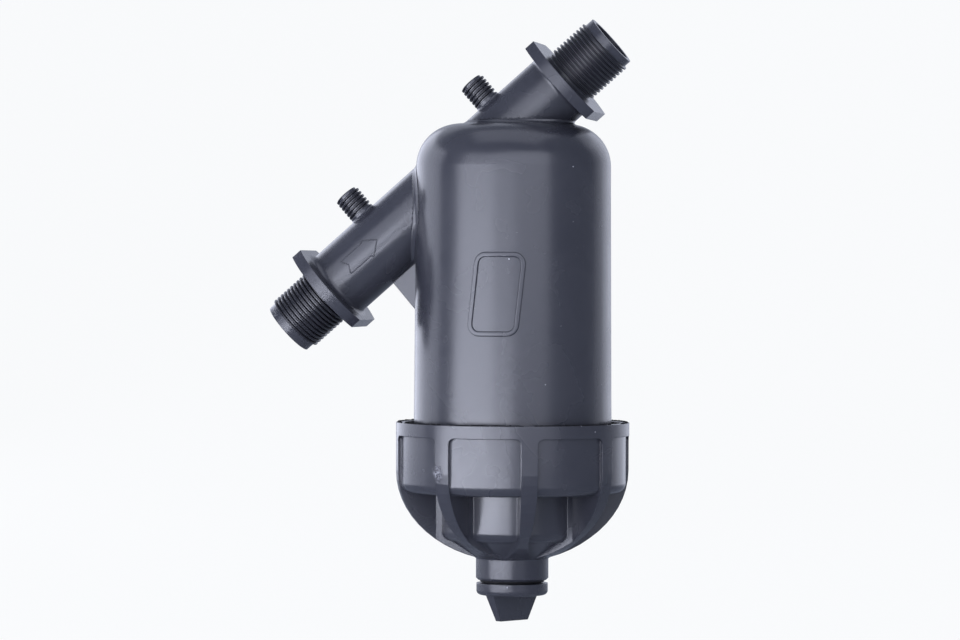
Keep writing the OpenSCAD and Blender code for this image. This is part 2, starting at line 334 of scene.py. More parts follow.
class SharedEffects:
    """Shader groups that more than one finish uses."""

    MOTTLE_RANGE = (0.35, 0.68)
    MARK_TURN = (0.5, 0.35, 0.9)
    MARK_STRETCH = (1.0, 9.0, 9.0)
    RAGGED_EDGE = (0.9, 1.3)
    SPECKLE_RANGE = (0.43, 0.57)

    def __init__(self) -> None:
        """Builds each group once."""
        self.grain = self.make_grain()
        self.specks = self.make_specks()
        self.scratches = self.make_scratches()
        self.scuff = self.make_scuff()

    @staticmethod
    def group(name: str, inputs: dict[str, float], outputs: Sequence[str]
              ) -> tuple[Nodes, bpy.types.Node, bpy.types.Node]:
        """Makes an empty group with a Vector input and number sockets.

        Args:
            name: Name of the group.
            inputs: Default values by input name.
            outputs: Names of its outputs.

        Returns:
            Its nodes, its input node and its output node.
        """
        tree = bpy.data.node_groups.new(name, "ShaderNodeTree")
        tree.interface.new_socket("Vector", in_out="INPUT", socket_type="NodeSocketVector")
        for label, value in inputs.items():
            made = tree.interface.new_socket(label, in_out="INPUT", socket_type="NodeSocketFloat")
            made.default_value = value
        for label in outputs:
            tree.interface.new_socket(label, in_out="OUTPUT", socket_type="NodeSocketFloat")
        nodes = Nodes(tree)
        return nodes, nodes.add("NodeGroupInput"), nodes.add("NodeGroupOutput")

    def make_grain(self) -> bpy.types.NodeTree:
        """Builds the moulding grain: a fine height and a broad flow mottle.

        Returns:
            The group.
        """
        nodes, given, out = self.group("moulding_grain", {"Grain Scale": 900.0, "Flow Scale": 28.0},
                                       ("Height", "Mottle"))
        place = given.outputs["Vector"]
        fine_inputs = {"Vector": place, "Scale": given.outputs["Grain Scale"], "Detail": 2.0}
        fine = nodes.add("ShaderNodeTexNoise", fine_inputs)
        flow_inputs = {"Vector": place, "Scale": given.outputs["Flow Scale"], "Detail": 3.0,
                       "Roughness": 0.55, "Distortion": 0.6}
        flow = nodes.add("ShaderNodeTexNoise", flow_inputs)
        nodes.fill(out.inputs["Height"], fine.outputs[0])
        nodes.fill(out.inputs["Mottle"], nodes.span(flow.outputs[0], *self.MOTTLE_RANGE, 0.0, 1.0))
        return nodes.tree

    def make_specks(self) -> bpy.types.NodeTree:
        """Builds loose dust: small round specks in a few of the cells of a Voronoi pattern.

        Returns:
            The group.
        """
        defaults = {"Scale": 160.0, "Size": 0.12, "Share": 0.06}
        nodes, given, out = self.group("dust_specks", defaults, ("Mask",))
        cell_inputs = {"Vector": given.outputs["Vector"], "Scale": given.outputs["Scale"]}
        cells = nodes.add("ShaderNodeTexVoronoi", cell_inputs)
        chance = nodes.add("ShaderNodeSeparateColor", {0: cells.outputs["Color"]})
        near = nodes.math("LESS_THAN", cells.outputs["Distance"], given.outputs["Size"])
        picked = nodes.math("LESS_THAN", chance.outputs[0], given.outputs["Share"])
        nodes.fill(out.inputs["Mask"], nodes.math("MULTIPLY", near, picked))
        return nodes.tree

    def make_scratches(self) -> bpy.types.NodeTree:
        """Builds short straight handling marks: specks in a space that is stretched one way.

        Returns:
            The group.
        """
        defaults = {"Scale": 70.0, "Width": 0.10, "Share": 0.10}
        nodes, given, out = self.group("handling_marks", defaults, ("Mask",))
        turned = nodes.add("ShaderNodeMapping", {"Vector": given.outputs["Vector"],
                                                 "Rotation": self.MARK_TURN, "Scale": self.MARK_STRETCH})
        marks = nodes.add("ShaderNodeGroup", {"Vector": turned.outputs[0], "Scale": given.outputs["Scale"],
                                              "Size": given.outputs["Width"],
                                              "Share": given.outputs["Share"]}, node_tree=self.specks)
        nodes.fill(out.inputs["Mask"], marks.outputs["Mask"])
        return nodes.tree

    def make_scuff(self) -> bpy.types.NodeTree:
        """Builds a ragged, speckled patch round the origin of its vector.

        Returns:
            The group.
        """
        defaults = {"Radius": 0.004, "Ragged Scale": 500.0, "Speckle Scale": 950.0}
        nodes, given, out = self.group("scuff_patch", defaults, ("Mask",))
        offset = given.outputs["Vector"]
        reach = nodes.add("ShaderNodeVectorMath", {0: offset}, operation="LENGTH").outputs["Value"]
        share = nodes.math("DIVIDE", reach, given.outputs["Radius"])
        ragged = nodes.add("ShaderNodeTexNoise", {"Vector": offset, "Scale": given.outputs["Ragged Scale"]})
        uneven = nodes.math("ADD", share, ragged.outputs[0])
        patch = nodes.span(uneven, *self.RAGGED_EDGE, 1.0, 0.0)
        speckle_inputs = {"Vector": offset, "Scale": given.outputs["Speckle Scale"]}
        speckle = nodes.add("ShaderNodeTexNoise", speckle_inputs)
        broken = nodes.span(speckle.outputs[0], *self.SPECKLE_RANGE, 0.0, 1.0)
        nodes.fill(out.inputs["Mask"], nodes.math("MULTIPLY", patch, broken))
        return nodes.tree


@dataclass(frozen=True)
class Scuff:
    """A rough patch on a surface: its place and reach in metres, its colour and how much it covers."""

    centre: tuple[float, float, float]
    radius: float
    colour: Colour
    strength: float = 0.8
    height: float = 0.45 * MM


@dataclass(frozen=True)
class Finish:
    """A moulded surface: its colours, its gloss, its grain and what lies on it."""

    name: str
    slot: Slot
    deep: Colour
    pale: Colour
    gloss_roughness: float
    dull_roughness: float
    specular: float = 0.5
    grain_scale: float = 900.0
    flow_scale: float = 28.0
    grain_height: float = 0.02 * MM
    edge_radius: float = 0.5 * MM
    dust_share: float = 0.03
    dust_size: float = 0.055
    mark_share: float = 0.04
    dust_colour: Colour = (0.55, 0.56, 0.60)
    mark_strength: float = 0.10
    scuff: Scuff | None = None

    def build(self, effects: SharedEffects) -> bpy.types.Material:
        """Makes the material.

        Args:
            effects: The shared shader groups.

        Returns:
            A material around one Principled BSDF.
        """
        material = bpy.data.materials.new(self.name)
        material.use_nodes = True
        material.node_tree.nodes.clear()
        nodes = Nodes(material.node_tree)
        place = nodes.add("ShaderNodeTexCoord").outputs["Object"]
        grain = nodes.add("ShaderNodeGroup", node_tree=effects.grain)
        specks = nodes.add("ShaderNodeGroup", node_tree=effects.specks)
        marks = nodes.add("ShaderNodeGroup", node_tree=effects.scratches)
        for group in (grain, specks, marks):
            nodes.fill(group.inputs["Vector"], place)
        grain.inputs["Grain Scale"].default_value = self.grain_scale
        grain.inputs["Flow Scale"].default_value = self.flow_scale
        specks.inputs["Share"].default_value = self.dust_share
        specks.inputs["Size"].default_value = self.dust_size
        marks.inputs["Share"].default_value = self.mark_share
        mottle = grain.outputs["Mottle"]
        plastic = nodes.blend(mottle, (*self.deep, 1.0), (*self.pale, 1.0))
        rubbed = nodes.math("MULTIPLY", marks.outputs["Mask"], self.mark_strength)
        worn = nodes.blend(rubbed, plastic, (*self.dust_colour, 1.0))
        dusty = nodes.blend(specks.outputs["Mask"], worn, (*self.dust_colour, 1.0))
        gloss = nodes.span(mottle, 0.0, 1.0, self.gloss_roughness, self.dull_roughness)
        rounded = nodes.add("ShaderNodeBevel", {"Radius": self.edge_radius}, samples=6)
        bump = nodes.add("ShaderNodeBump", {"Distance": self.grain_height, "Height": grain.outputs["Height"],
                                            "Normal": rounded.outputs[0]})
        colour, normal = dusty, bump.outputs[0]
        if self.scuff:
            colour, normal = self.add_scuff(nodes, effects, place, colour, normal)
        surface = nodes.add("ShaderNodeBsdfPrincipled", {"Base Color": colour, "Roughness": gloss,
                                                         "Normal": normal})
        surface.inputs["Specular IOR Level"].default_value = self.specular
        nodes.add("ShaderNodeOutputMaterial", {"Surface": surface.outputs[0]})
        return material

    def add_scuff(self, nodes: Nodes, effects: SharedEffects, place: bpy.types.NodeSocket,
                  colour: bpy.types.NodeSocket, normal: bpy.types.NodeSocket
                  ) -> tuple[bpy.types.NodeSocket, bpy.types.NodeSocket]:
        """Lays the rough patch over a colour and a normal.

        Args:
            nodes: Nodes of the material.
            effects: The shared shader groups.
            place: Object coordinates.
            colour: Colour without the patch.
            normal: Normal without the patch.

        Returns:
            Colour and normal with the patch.
        """
        offset = nodes.add("ShaderNodeVectorMath", {0: place, 1: self.scuff.centre}, operation="SUBTRACT")
        patch = nodes.add("ShaderNodeGroup", {"Vector": offset.outputs[0], "Radius": self.scuff.radius},
                          node_tree=effects.scuff)
        cover = nodes.math("MULTIPLY", patch.outputs["Mask"], self.scuff.strength)
        rough = nodes.add("ShaderNodeBump", {"Distance": self.scuff.height, "Height": patch.outputs["Mask"],
                                             "Normal": normal})
        return nodes.blend(cover, colour, (*self.scuff.colour, 1.0)), rough.outputs[0]


SATIN_BLACK = Finish(
    "satin_black_plastic", Slot.BLACK, deep=(0.030, 0.031, 0.040), pale=(0.037, 0.038, 0.047),
    gloss_roughness=0.23, dull_roughness=0.29, specular=0.8)
HOUSING_BLACK = replace(
    SATIN_BLACK, name="housing_black_plastic",
    scuff=Scuff(centre=(-6.1 * MM, -10.9 * MM, 8.8 * MM), radius=4.2 * MM, colour=(0.10, 0.10, 0.11),
                strength=0.6))
CAP_BLACK = replace(
    SATIN_BLACK, name="cap_black_plastic",
    scuff=Scuff(centre=(93.05 * MM, -54.7 * MM, -75.2 * MM), radius=6.2 * MM, colour=(0.24, 0.24, 0.27)))
# Darker copy of the satin black for the threads: painted shade that stands for the dark gaps between the
# ridges.
THREAD_PAINTED_SHADE_BLACK = replace(
    SATIN_BLACK, name="thread_painted_shade_black_plastic", deep=(0.012, 0.012, 0.016), pale=(0.016, 0.016, 0.021),
    gloss_roughness=0.28, dull_roughness=0.34, specular=0.5, edge_radius=0.12 * MM)
TORN_BLACK = Finish(
    "torn_black_plastic", Slot.BLACK, deep=(0.004, 0.004, 0.005), pale=(0.008, 0.008, 0.009),
    gloss_roughness=0.55, dull_roughness=0.70, specular=0.2, edge_radius=0.05 * MM)
SHADED_BLACK = Finish(
    "inner_black_plastic", Slot.BLACK, deep=(0.028, 0.029, 0.036), pale=(0.036, 0.037, 0.045),
    gloss_roughness=0.42, dull_roughness=0.52)
SEAL_RUBBER = Finish(
    "seal_rubber", Slot.RUBBER, deep=(0.012, 0.012, 0.013), pale=(0.020, 0.020, 0.022),
    gloss_roughness=0.50, dull_roughness=0.62, specular=0.35, edge_radius=0.2 * MM)
DISC_RED = Finish(
    "disc_red_plastic", Slot.DISC, deep=(0.38, 0.042, 0.028), pale=(0.46, 0.060, 0.042),
    gloss_roughness=0.38, dull_roughness=0.46, edge_radius=0.2 * MM)


class Paint:
    """Builds each finish once and hands out its material."""

    def __init__(self) -> None:
        """Builds the shared groups."""
        self.effects = SharedEffects()
        self.made: dict[str, bpy.types.Material] = {}

    def of(self, finish: Finish) -> bpy.types.Material:
        """Gives the material of a finish.

        Args:
            finish: The finish.

        Returns:
            Its material, built on the first call.
        """
        if finish.name not in self.made:
            self.made[finish.name] = finish.build(self.effects)
        return self.made[finish.name]


@dataclass(frozen=True)
class Layout:
    """Places and sizes that the pieces share, in metres."""

    inlet: Vector
    outlet: Vector
    along: Vector
    outward: Vector
    nipple_tips: dict[str, Vector]
    bowl: Vector
    pipe_r: float = 19.6 * MM
    end_root_r: float = 15.15 * MM
    end_length: float = 30.3 * MM
    nipple_root_r: float = 6.0 * MM
    nipple_height: float = 14.4 * MM
    nipple_foot_r: float = 7.1 * MM
    nipple_foot_height: float = 1.4 * MM
    body_r: float = 53.4 * MM
    body_top_r: float = 52.6 * MM
    shoulder_r: float = 23.0 * MM
    body_height: float = 161.0 * MM

    @classmethod
    def from_frame(cls, frame: dict) -> Layout:
        """Reads the mounts, the cap's axis and the rim from the frame.


        Returns:
            The layout.
        """
        mounts = {mount["name"]: mount for mount in frame["record"]["mounts"]}
        turn = next(joint for joint in frame["joints"] if joint["name"] == "cap_turn")
        rim_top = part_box("cap")[1].z
        bowl = Vector((turn["pos_m"][0], turn["pos_m"][1], rim_top))
        tips = {side: Vector(mounts[side + "_nipple"]["pos_m"]) for side in ("inlet", "outlet")}
        outward = Vector(mounts["inlet_nipple"]["axis"]).normalized()
        along = Vector(mounts["outlet_thread"]["axis"]).normalized()
        return cls(Vector(mounts["inlet_thread"]["pos_m"]), Vector(mounts["outlet_thread"]["pos_m"]), along,
                   outward, tips, bowl)

    @property
    def sideways(self) -> Vector:
        """Direction across the pipe, towards the camera's side."""
        return self.along.cross(self.outward).normalized()

    def body_radius(self, height: float) -> float:
        """Radius of the body at a height above the rim."""
        return self.body_r + (self.body_top_r - self.body_r) * height / self.body_height

    def body_distance(self, point: Vector) -> float:
        """Distance of a point from the body's outside, less than zero inside.

        Args:
            point: A point in the part's frame.

        Returns:
            The distance in metres.
        """
        local = point - self.bowl
        reach = math.hypot(local.x, local.y)
        out = reach - (self.body_top_r - self.shoulder_r)
        up = local.z - (self.body_height - self.shoulder_r)
        if out > 0.0 and up > 0.0:
            return math.hypot(out, up) - self.shoulder_r
        if out > up:
            return reach - self.body_radius(local.z)
        return local.z - self.body_height

    def pipe_distance(self, point: Vector) -> float:
        """Distance of a point from the pipe's outside, less than zero inside."""
        local = point - self.inlet
        return (local - self.along * local.dot(self.along)).length - self.pipe_r

    def nipple_foot_distance(self, tip: Vector, point: Vector) -> float:
        """Distance of a point from the outside of the foot of the nipple with that tip."""
        local = point - tip
        return (local - self.outward * local.dot(self.outward)).length - self.nipple_foot_r


def aligned(origin: Vector, up: Vector, front: Vector) -> Matrix:
    """Makes a place whose Z runs along up and whose -Y points as far as it can to front.

    Args:
        origin: The place's origin.
        up: Direction of its Z.
        front: Direction that its -Y faces.

    Returns:
        The matrix of that place.
    """
    z = up.normalized()
    y = -(front - z * front.dot(z)).normalized()
    x = y.cross(z)
    return Matrix.Translation(origin) @ Matrix((x, y, z)).transposed().to_4x4()


class RidgeTree(MadeTree):
    """Tree of a helical ridge with a rounded crest that runs out at both ends."""

    RUN_OUT_SOFTNESS = 0.2

    def __init__(self) -> None:
        """Builds the tree."""
        super().__init__("helical_ridge", {
            "Root Radius": self.FLOAT, "Depth": self.FLOAT, "Sink": self.FLOAT, "Foot Width": self.FLOAT,
            "Crest Width": self.FLOAT, "Rounding": self.FLOAT, "Pitch": self.FLOAT, "Turns": self.FLOAT,
            "Steps": self.WHOLE, "Run Out": self.FLOAT, "Material": self.MATERIAL})
        nodes = self.nodes
        root = self.value("Root Radius")
        height = nodes.math("MULTIPLY", self.value("Pitch"), self.value("Turns"))
        helix = nodes.add("GeometryNodeCurveSpiral", {
            "Resolution": self.value("Steps"), "Rotations": self.value("Turns"), "Start Radius": root,
            "End Radius": root, "Height": height, "Reverse": True})
        steady = nodes.add("GeometryNodeSetCurveNormal", {"Curve": helix.outputs[0]}, mode="Z_UP")
        factor = nodes.add("GeometryNodeSplineParameter").outputs["Factor"]
        left = nodes.math("SUBTRACT", 1.0, factor)
        nearest = nodes.math("MINIMUM", factor, left)
        share = nodes.math("DIVIDE", nearest, self.value("Run Out"))
        size = nodes.math("SMOOTH_MIN", share, 1.0, self.RUN_OUT_SOFTNESS)
        foot = nodes.math("MULTIPLY", self.value("Foot Width"), 0.5)
        crest = nodes.math("MULTIPLY", self.value("Crest Width"), 0.5)
        sink = nodes.math("MULTIPLY", self.value("Sink"), -1.0)
        depth = self.value("Depth")
        section = nodes.add("GeometryNodeCurvePrimitiveQuadrilateral", {
            "Point 1": nodes.vector(sink, nodes.math("MULTIPLY", foot, -1.0)),
            "Point 2": nodes.vector(depth, nodes.math("MULTIPLY", crest, -1.0)),
            "Point 3": nodes.vector(depth, crest), "Point 4": nodes.vector(sink, foot)}, mode="POINTS")
        soft = nodes.add("GeometryNodeFilletCurve", {"Curve": section.outputs[0], "Count": 4,
                                                     "Radius": self.value("Rounding"),
                                                     "Limit Radius": True}, mode="POLY")
        swept = nodes.add("GeometryNodeCurveToMesh", {"Curve": steady.outputs[0],
                                                      "Profile Curve": soft.outputs[0], "Scale": size,
                                                      "Fill Caps": True})
        self.end(swept.outputs[0])


@dataclass(frozen=True)
class RidgeForm:
    """Pitch and cross-section of a thread's ridge, in metres. A depth below zero points inwards."""

    pitch: float
    depth: float
    foot: float
    crest: float
    rounding: float


PIPE_RIDGE = RidgeForm(pitch=2.309 * MM, depth=1.45 * MM, foot=1.95 * MM, crest=0.8 * MM, rounding=0.3 * MM)
NIPPLE_RIDGE = RidgeForm(pitch=2.2 * MM, depth=1.2 * MM, foot=1.75 * MM, crest=1.0 * MM, rounding=0.3 * MM)
COLLAR_RIDGE = RidgeForm(pitch=5.0 * MM, depth=2.1 * MM, foot=2.2 * MM, crest=1.2 * MM, rounding=0.3 * MM)
CAP_RIDGE = replace(COLLAR_RIDGE, depth=-2.0 * MM, foot=2.0 * MM, crest=1.1 * MM)
PLUG_RIDGE = RidgeForm(pitch=3.0 * MM, depth=1.6 * MM, foot=1.2 * MM, crest=0.6 * MM, rounding=0.2 * MM)
NECK_RIDGE = replace(PLUG_RIDGE, depth=-PLUG_RIDGE.depth)


@dataclass(frozen=True)
class Thread:
    """One thread: what it is cut on, the form of its ridge and where it starts, in metres."""

    name: str
    body: Body
    root_r: float
    form: RidgeForm
    length: float
    place: Matrix
    finish: Finish = SATIN_BLACK
    sink: float = 0.15 * MM
    run_out_turns: float = 0.35
    steps_per_turn: int = 72

    def build(self, tree: RidgeTree, paint: Paint) -> None:
        """Makes the ridge and hands it over.

        Args:
            tree: The ridge tree.
            paint: Where its material comes from.
        """
        form = self.form
        turns = self.length / form.pitch
        side = math.copysign(1.0, form.depth)
        piece = tree.make(self.name, {
            "Root Radius": self.root_r, "Depth": form.depth, "Sink": self.sink * side,
            "Foot Width": form.foot, "Crest Width": form.crest, "Rounding": form.rounding,
            "Pitch": form.pitch, "Turns": turns, "Steps": self.steps_per_turn,
            "Run Out": self.run_out_turns / turns, "Material": paint.of(self.finish)}, self.place)
        Pieces.hand_over(piece, self.body, self.finish.slot)


@dataclass
class Threads:
    """All the threads of the filter."""

    layout: Layout
    pipe_lip: float = 3.6 * MM
    pipe_root_gap: float = 1.0 * MM
    nipple_tip_gap: float = 0.2 * MM
    nipple_steps: int = 48
    collar_r: float = 56.0 * MM
    cap_bore_r: float = 58.6 * MM
    collar_low: float = -27.5 * MM
    collar_high: float = -6.0 * MM
    collar_steps: int = 120
    shank_r: float = 13.2 * MM
    neck_bore_r: float = 15.3 * MM
    plug_start: float = 1.0 * MM
    plug_length: float = 10.5 * MM

    def pipe_ends(self) -> list[Thread]:
        """Lists the inlet's and the outlet's threads.

        Returns:
            One thread for each end of the pipe.
        """
        layout = self.layout
        length = layout.end_length - self.pipe_lip - self.pipe_root_gap
        ends = (("inlet_thread", layout.inlet, layout.along),
                ("outlet_thread", layout.outlet, -layout.along))
        threads = []
        for name, mouth, inward in ends:
            place = aligned(mouth + inward * self.pipe_lip, inward, layout.sideways)
            threads.append(Thread(name, Body.HOUSING, layout.end_root_r, PIPE_RIDGE, length, place,
                                  THREAD_PAINTED_SHADE_BLACK))
        return threads

    def nipples(self) -> list[Thread]:
        """Lists the threads of the two nipples.

        Returns:
            One thread for each nipple.
        """
        layout = self.layout
        above_foot = layout.nipple_height - layout.nipple_foot_height
        threads = []
        for side, tip in layout.nipple_tips.items():
            place = aligned(tip - layout.outward * above_foot, layout.outward, layout.sideways)
            threads.append(Thread(side + "_nipple_thread", Body.HOUSING, layout.nipple_root_r, NIPPLE_RIDGE,
                                  above_foot - self.nipple_tip_gap, place, THREAD_PAINTED_SHADE_BLACK,
                                  steps_per_turn=self.nipple_steps))
        return threads

    def joined(self) -> list[Thread]:
        """Lists the two pairs of threads that run in each other, half a pitch apart.

        Returns:
            The threads of collar, cap, plug and neck.
        """
        bowl = self.layout.bowl
        up = Vector((0.0, 0.0, 1.0))
        front = Vector((0.0, -1.0, 0.0))
        collar_length = self.collar_high - self.collar_low
        collar = aligned(bowl + up * self.collar_low, up, front)
        cap = aligned(bowl + up * (self.collar_low + COLLAR_RIDGE.pitch / 2), up, front)
        neck_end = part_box("cap")[0].z
        plug_low = Vector((bowl.x, bowl.y, neck_end + self.plug_start))
        plug = aligned(plug_low, up, front)
        neck = aligned(plug_low + up * PLUG_RIDGE.pitch / 2, up, front)
        return [
            Thread("collar_thread", Body.HOUSING, self.collar_r, COLLAR_RIDGE, collar_length, collar,
                   steps_per_turn=self.collar_steps),
            Thread("cap_thread", Body.CAP, self.cap_bore_r, CAP_RIDGE, collar_length - CAP_RIDGE.pitch, cap,
                   SHADED_BLACK, steps_per_turn=self.collar_steps),
            Thread("plug_thread", Body.PLUG, self.shank_r, PLUG_RIDGE, self.plug_length, plug, SHADED_BLACK),
            Thread("neck_thread", Body.CAP, self.neck_bore_r, NECK_RIDGE,
                   self.plug_length - NECK_RIDGE.pitch, neck, SHADED_BLACK),
        ]

    def build(self, paint: Paint) -> None:
        """Makes every thread.

        Args:
            paint: Where the materials come from.
        """
        tree = RidgeTree()
        for thread in (*self.pipe_ends(), *self.nipples(), *self.joined()):
            thread.build(tree, paint)


@dataclass
class JunctionFillets:
    """Soft concave bands where one round part of the housing meets another."""

    layout: Layout
    pipe_reach: float = 3.0 * MM
    nipple_reach: float = 1.1 * MM
    around: int = 128
    steps: int = 7
    sunk: float = 0.03 * MM
    core: float = 0.6 * MM
    probe: float = 0.01 * MM
    start_reach: float = 120.0 * MM
    run_step: float = 1.0 * MM
    longest_run: float = 240.0 * MM
    halvings: int = 40
    settle_rounds: int = 3

    def slope(self, distance: Callable[[Vector], float], point: Vector) -> Vector:
        """Finds the outward direction of a surface at a point.

        Args:
            distance: Distance from that surface.
            point: A point close to it.

        Returns:
            The unit normal.
        """
        axes = (Vector((1.0, 0.0, 0.0)), Vector((0.0, 1.0, 0.0)), Vector((0.0, 0.0, 1.0)))
        parts = [distance(point + axis * self.probe) - distance(point - axis * self.probe) for axis in axes]
        return Vector(parts).normalized()

    def crossing(self, distance: Callable[[Vector], float], start: Vector, run: Vector) -> Vector:
        """Halves a run from outside to inside until it meets the surface.

        Args:
            distance: Distance from the surface.
            start: A point outside it.
            run: The way to a point inside it.

        Returns:
            The point on the surface.
        """
        low, high = 0.0, 1.0
        for _ in range(self.halvings):
            middle = (low + high) / 2
            if distance(start + run * middle) > 0.0:
                low = middle
            else:
                high = middle
        return start + run * high

    def band(self, name: str, paint: Paint, lines: Sequence[tuple[Vector, Vector]], reach: float,
             rod: Callable[[Vector], float], wall: Callable[[Vector], float]) -> None:
        """Makes one band round a rod that goes into a wall.

        Args:
            name: Name of the piece.
            paint: Where its material comes from.
            lines: A start outside the wall and a run into it, for each place round the rod.
            reach: How far the band lies on each surface.
            rod: Distance from the rod's surface.
            wall: Distance from the wall's surface.
        """
        rings = []
        for start, run in lines:
            corner = self.crossing(wall, start, run)
            rod_normal = self.slope(rod, corner)
            wall_normal = self.slope(wall, corner)
            edge = rod_normal.cross(wall_normal).normalized()
            on_rod = edge.cross(rod_normal)
            on_rod = on_rod if on_rod.dot(wall_normal) > 0.0 else -on_rod
            on_wall = edge.cross(wall_normal)
            on_wall = on_wall if on_wall.dot(rod_normal) > 0.0 else -on_wall
            first = self.settle(rod, corner + on_rod * reach)
            last = self.settle(wall, corner + on_wall * reach)
            ring = []
            for step in range(self.steps + 1):
                t = step / self.steps
                ring.append(first * (1 - t) ** 2 + corner * 2 * t * (1 - t) + last * t ** 2)
            ring.append(corner - (rod_normal + wall_normal).normalized() * self.core)
            rings.append(ring)
        piece = Pieces.from_rings(name, rings, paint.of(SATIN_BLACK))
        Pieces.hand_over(piece, Body.HOUSING, Slot.BLACK)

    def settle(self, distance: Callable[[Vector], float], point: Vector) -> Vector:
        """Moves a point on to a surface and a trace below it.

        Args:
            distance: Distance from that surface.
            point: A point close to it.

        Returns:
            The moved point.
        """
        for _ in range(self.settle_rounds):
            point = point - self.slope(distance, point) * (distance(point) + self.sunk)
        return point

    def build(self, paint: Paint) -> None:
        """Makes the bands of the pipe and of the nipples.

        Args:
            paint: Where the material comes from.
        """
        angles = [2 * math.pi * i / self.around for i in range(self.around)]
        self.build_pipe_bands(paint, angles)
        self.build_nipple_bands(paint, angles)

    def build_pipe_bands(self, paint: Paint, angles: Sequence[float]) -> None:
        """Makes the bands where the pipe enters and leaves the body.

        Args:
            paint: Where the material comes from.
            angles: Places round the pipe.
        """
        layout = self.layout
        centre = layout.inlet + layout.along * ((layout.bowl - layout.inlet).x / layout.along.x)
        for name, way in (("inlet_fillet", -layout.along), ("outlet_fillet", layout.along)):
            lines = []
            for angle in angles:
                side = layout.outward * math.cos(angle) + layout.sideways * math.sin(angle)
                start = centre + side * layout.pipe_r + way * self.start_reach
                lines.append((start, self.run_inside(start, -way)))
            self.band(name, paint, lines, self.pipe_reach, layout.pipe_distance, layout.body_distance)

    def build_nipple_bands(self, paint: Paint, angles: Sequence[float]) -> None:
        """Makes the bands at the feet of the nipples.

        Args:
            paint: Where the material comes from.
            angles: Places round a nipple.
        """
        layout = self.layout
        run = -layout.outward * (layout.nipple_height + layout.pipe_r / 2)
        for side, tip in layout.nipple_tips.items():
            lines = []
            for angle in angles:
                ring = layout.along * math.cos(angle) + layout.sideways * math.sin(angle)
                lines.append((tip + ring * layout.nipple_foot_r, run))
            foot = partial(layout.nipple_foot_distance, tip)
            self.band(side + "_nipple_fillet", paint, lines, self.nipple_reach, foot, layout.pipe_distance)

    def run_inside(self, start: Vector, way: Vector) -> Vector:
        """Finds a run from a start outside the body to the first place well inside it.

        Args:
            start: A point outside the body.
            way: Direction towards the body.

        Returns:
            The run, long enough to cross the outside once.
        """
        length = 0.0
        while self.layout.body_distance(start + way * length) > 0.0 and length < self.longest_run:
            length += self.run_step
        return way * length


class BeadTree(MadeTree):
    """Tree of a raised bead along a flat outline, laid round a barrel."""

    def __init__(self) -> None:
        """Builds the tree."""
        super().__init__("bead_on_barrel", {
            "Corner": self.FLOAT, "Foot Width": self.FLOAT, "Crest Width": self.FLOAT, "Height": self.FLOAT,
            "Sink": self.FLOAT, "Rounding": self.FLOAT, "Step": self.FLOAT, "Barrel Radius": self.FLOAT,
            "Taper": self.FLOAT, "Material": self.MATERIAL})
        nodes = self.nodes
        outline = nodes.add("GeometryNodeMeshToCurve", {"Mesh": self.value("Geometry")})
        rounded = nodes.add("GeometryNodeFilletCurve", {"Curve": outline.outputs[0], "Count": 8,
                                                        "Radius": self.value("Corner"),
                                                        "Limit Radius": True}, mode="POLY")
        even = nodes.add("GeometryNodeResampleCurve", {"Curve": rounded.outputs[0],
                                                       "Length": self.value("Step")}, mode="LENGTH")
        level = nodes.add("GeometryNodeSetCurveNormal", {"Curve": even.outputs[0]}, mode="Z_UP")
        foot = nodes.math("MULTIPLY", self.value("Foot Width"), 0.5)
        crest = nodes.math("MULTIPLY", self.value("Crest Width"), 0.5)
        top = nodes.math("MULTIPLY", self.value("Height"), -1.0)
        section = nodes.add("GeometryNodeCurvePrimitiveQuadrilateral", {
            "Point 1": nodes.vector(nodes.math("MULTIPLY", foot, -1.0), self.value("Sink")),
            "Point 2": nodes.vector(nodes.math("MULTIPLY", crest, -1.0), top),
            "Point 3": nodes.vector(crest, top), "Point 4": nodes.vector(foot, self.value("Sink"))},
            mode="POINTS")
        soft = nodes.add("GeometryNodeFilletCurve", {"Curve": section.outputs[0], "Count": 3,
                                                     "Radius": self.value("Rounding"),
                                                     "Limit Radius": True}, mode="POLY")
        swept = nodes.add("GeometryNodeCurveToMesh", {"Curve": level.outputs[0],
                                                      "Profile Curve": soft.outputs[0]})
        flat = nodes.add("ShaderNodeSeparateXYZ", {0: nodes.add("GeometryNodeInputPosition").outputs[0]})
        lost = nodes.math("MULTIPLY", flat.outputs[1], self.value("Taper"))
        reach = nodes.math("ADD", nodes.math("SUBTRACT", self.value("Barrel Radius"), lost), flat.outputs[2])
        angle = nodes.math("DIVIDE", flat.outputs[0], self.value("Barrel Radius"))
        across = nodes.math("MULTIPLY", reach, nodes.math("SINE", angle))
        front = nodes.math("MULTIPLY", nodes.math("MULTIPLY", reach, nodes.math("COSINE", angle)), -1.0)
        wrapped = nodes.vector(across, front, flat.outputs[1])
        laid = nodes.add("GeometryNodeSetPosition", {"Geometry": swept.outputs[0], "Position": wrapped})
        self.end(laid.outputs[0])


def outline_mesh(name: str, corners: Sequence[tuple[float, float]]) -> bpy.types.Mesh:
    """Makes a closed flat outline of edges.

    Args:
        name: Name of the mesh.
        corners: Its corners in metres.

    Returns:
        The mesh, in the XY plane.
    """
    mesh = bpy.data.meshes.new(name)
    count = len(corners)
    mesh.from_pydata([(x, y, 0.0) for x, y in corners], [(i, (i + 1) % count) for i in range(count)], [])
    return mesh


@dataclass(frozen=True)
class BeadForm:
    """Cross-section of a raised bead, its corner radius and its step along the outline, in metres."""

    corner: float
    foot: float
    crest: float
    height: float
    sink: float
    rounding: float
    step: float

    def inputs(self) -> dict[str, object]:
        """Gives the sizes by the names of the tree's inputs."""
        return {"Corner": self.corner, "Foot Width": self.foot, "Crest Width": self.crest,
                "Height": self.height, "Sink": self.sink, "Rounding": self.rounding, "Step": self.step}


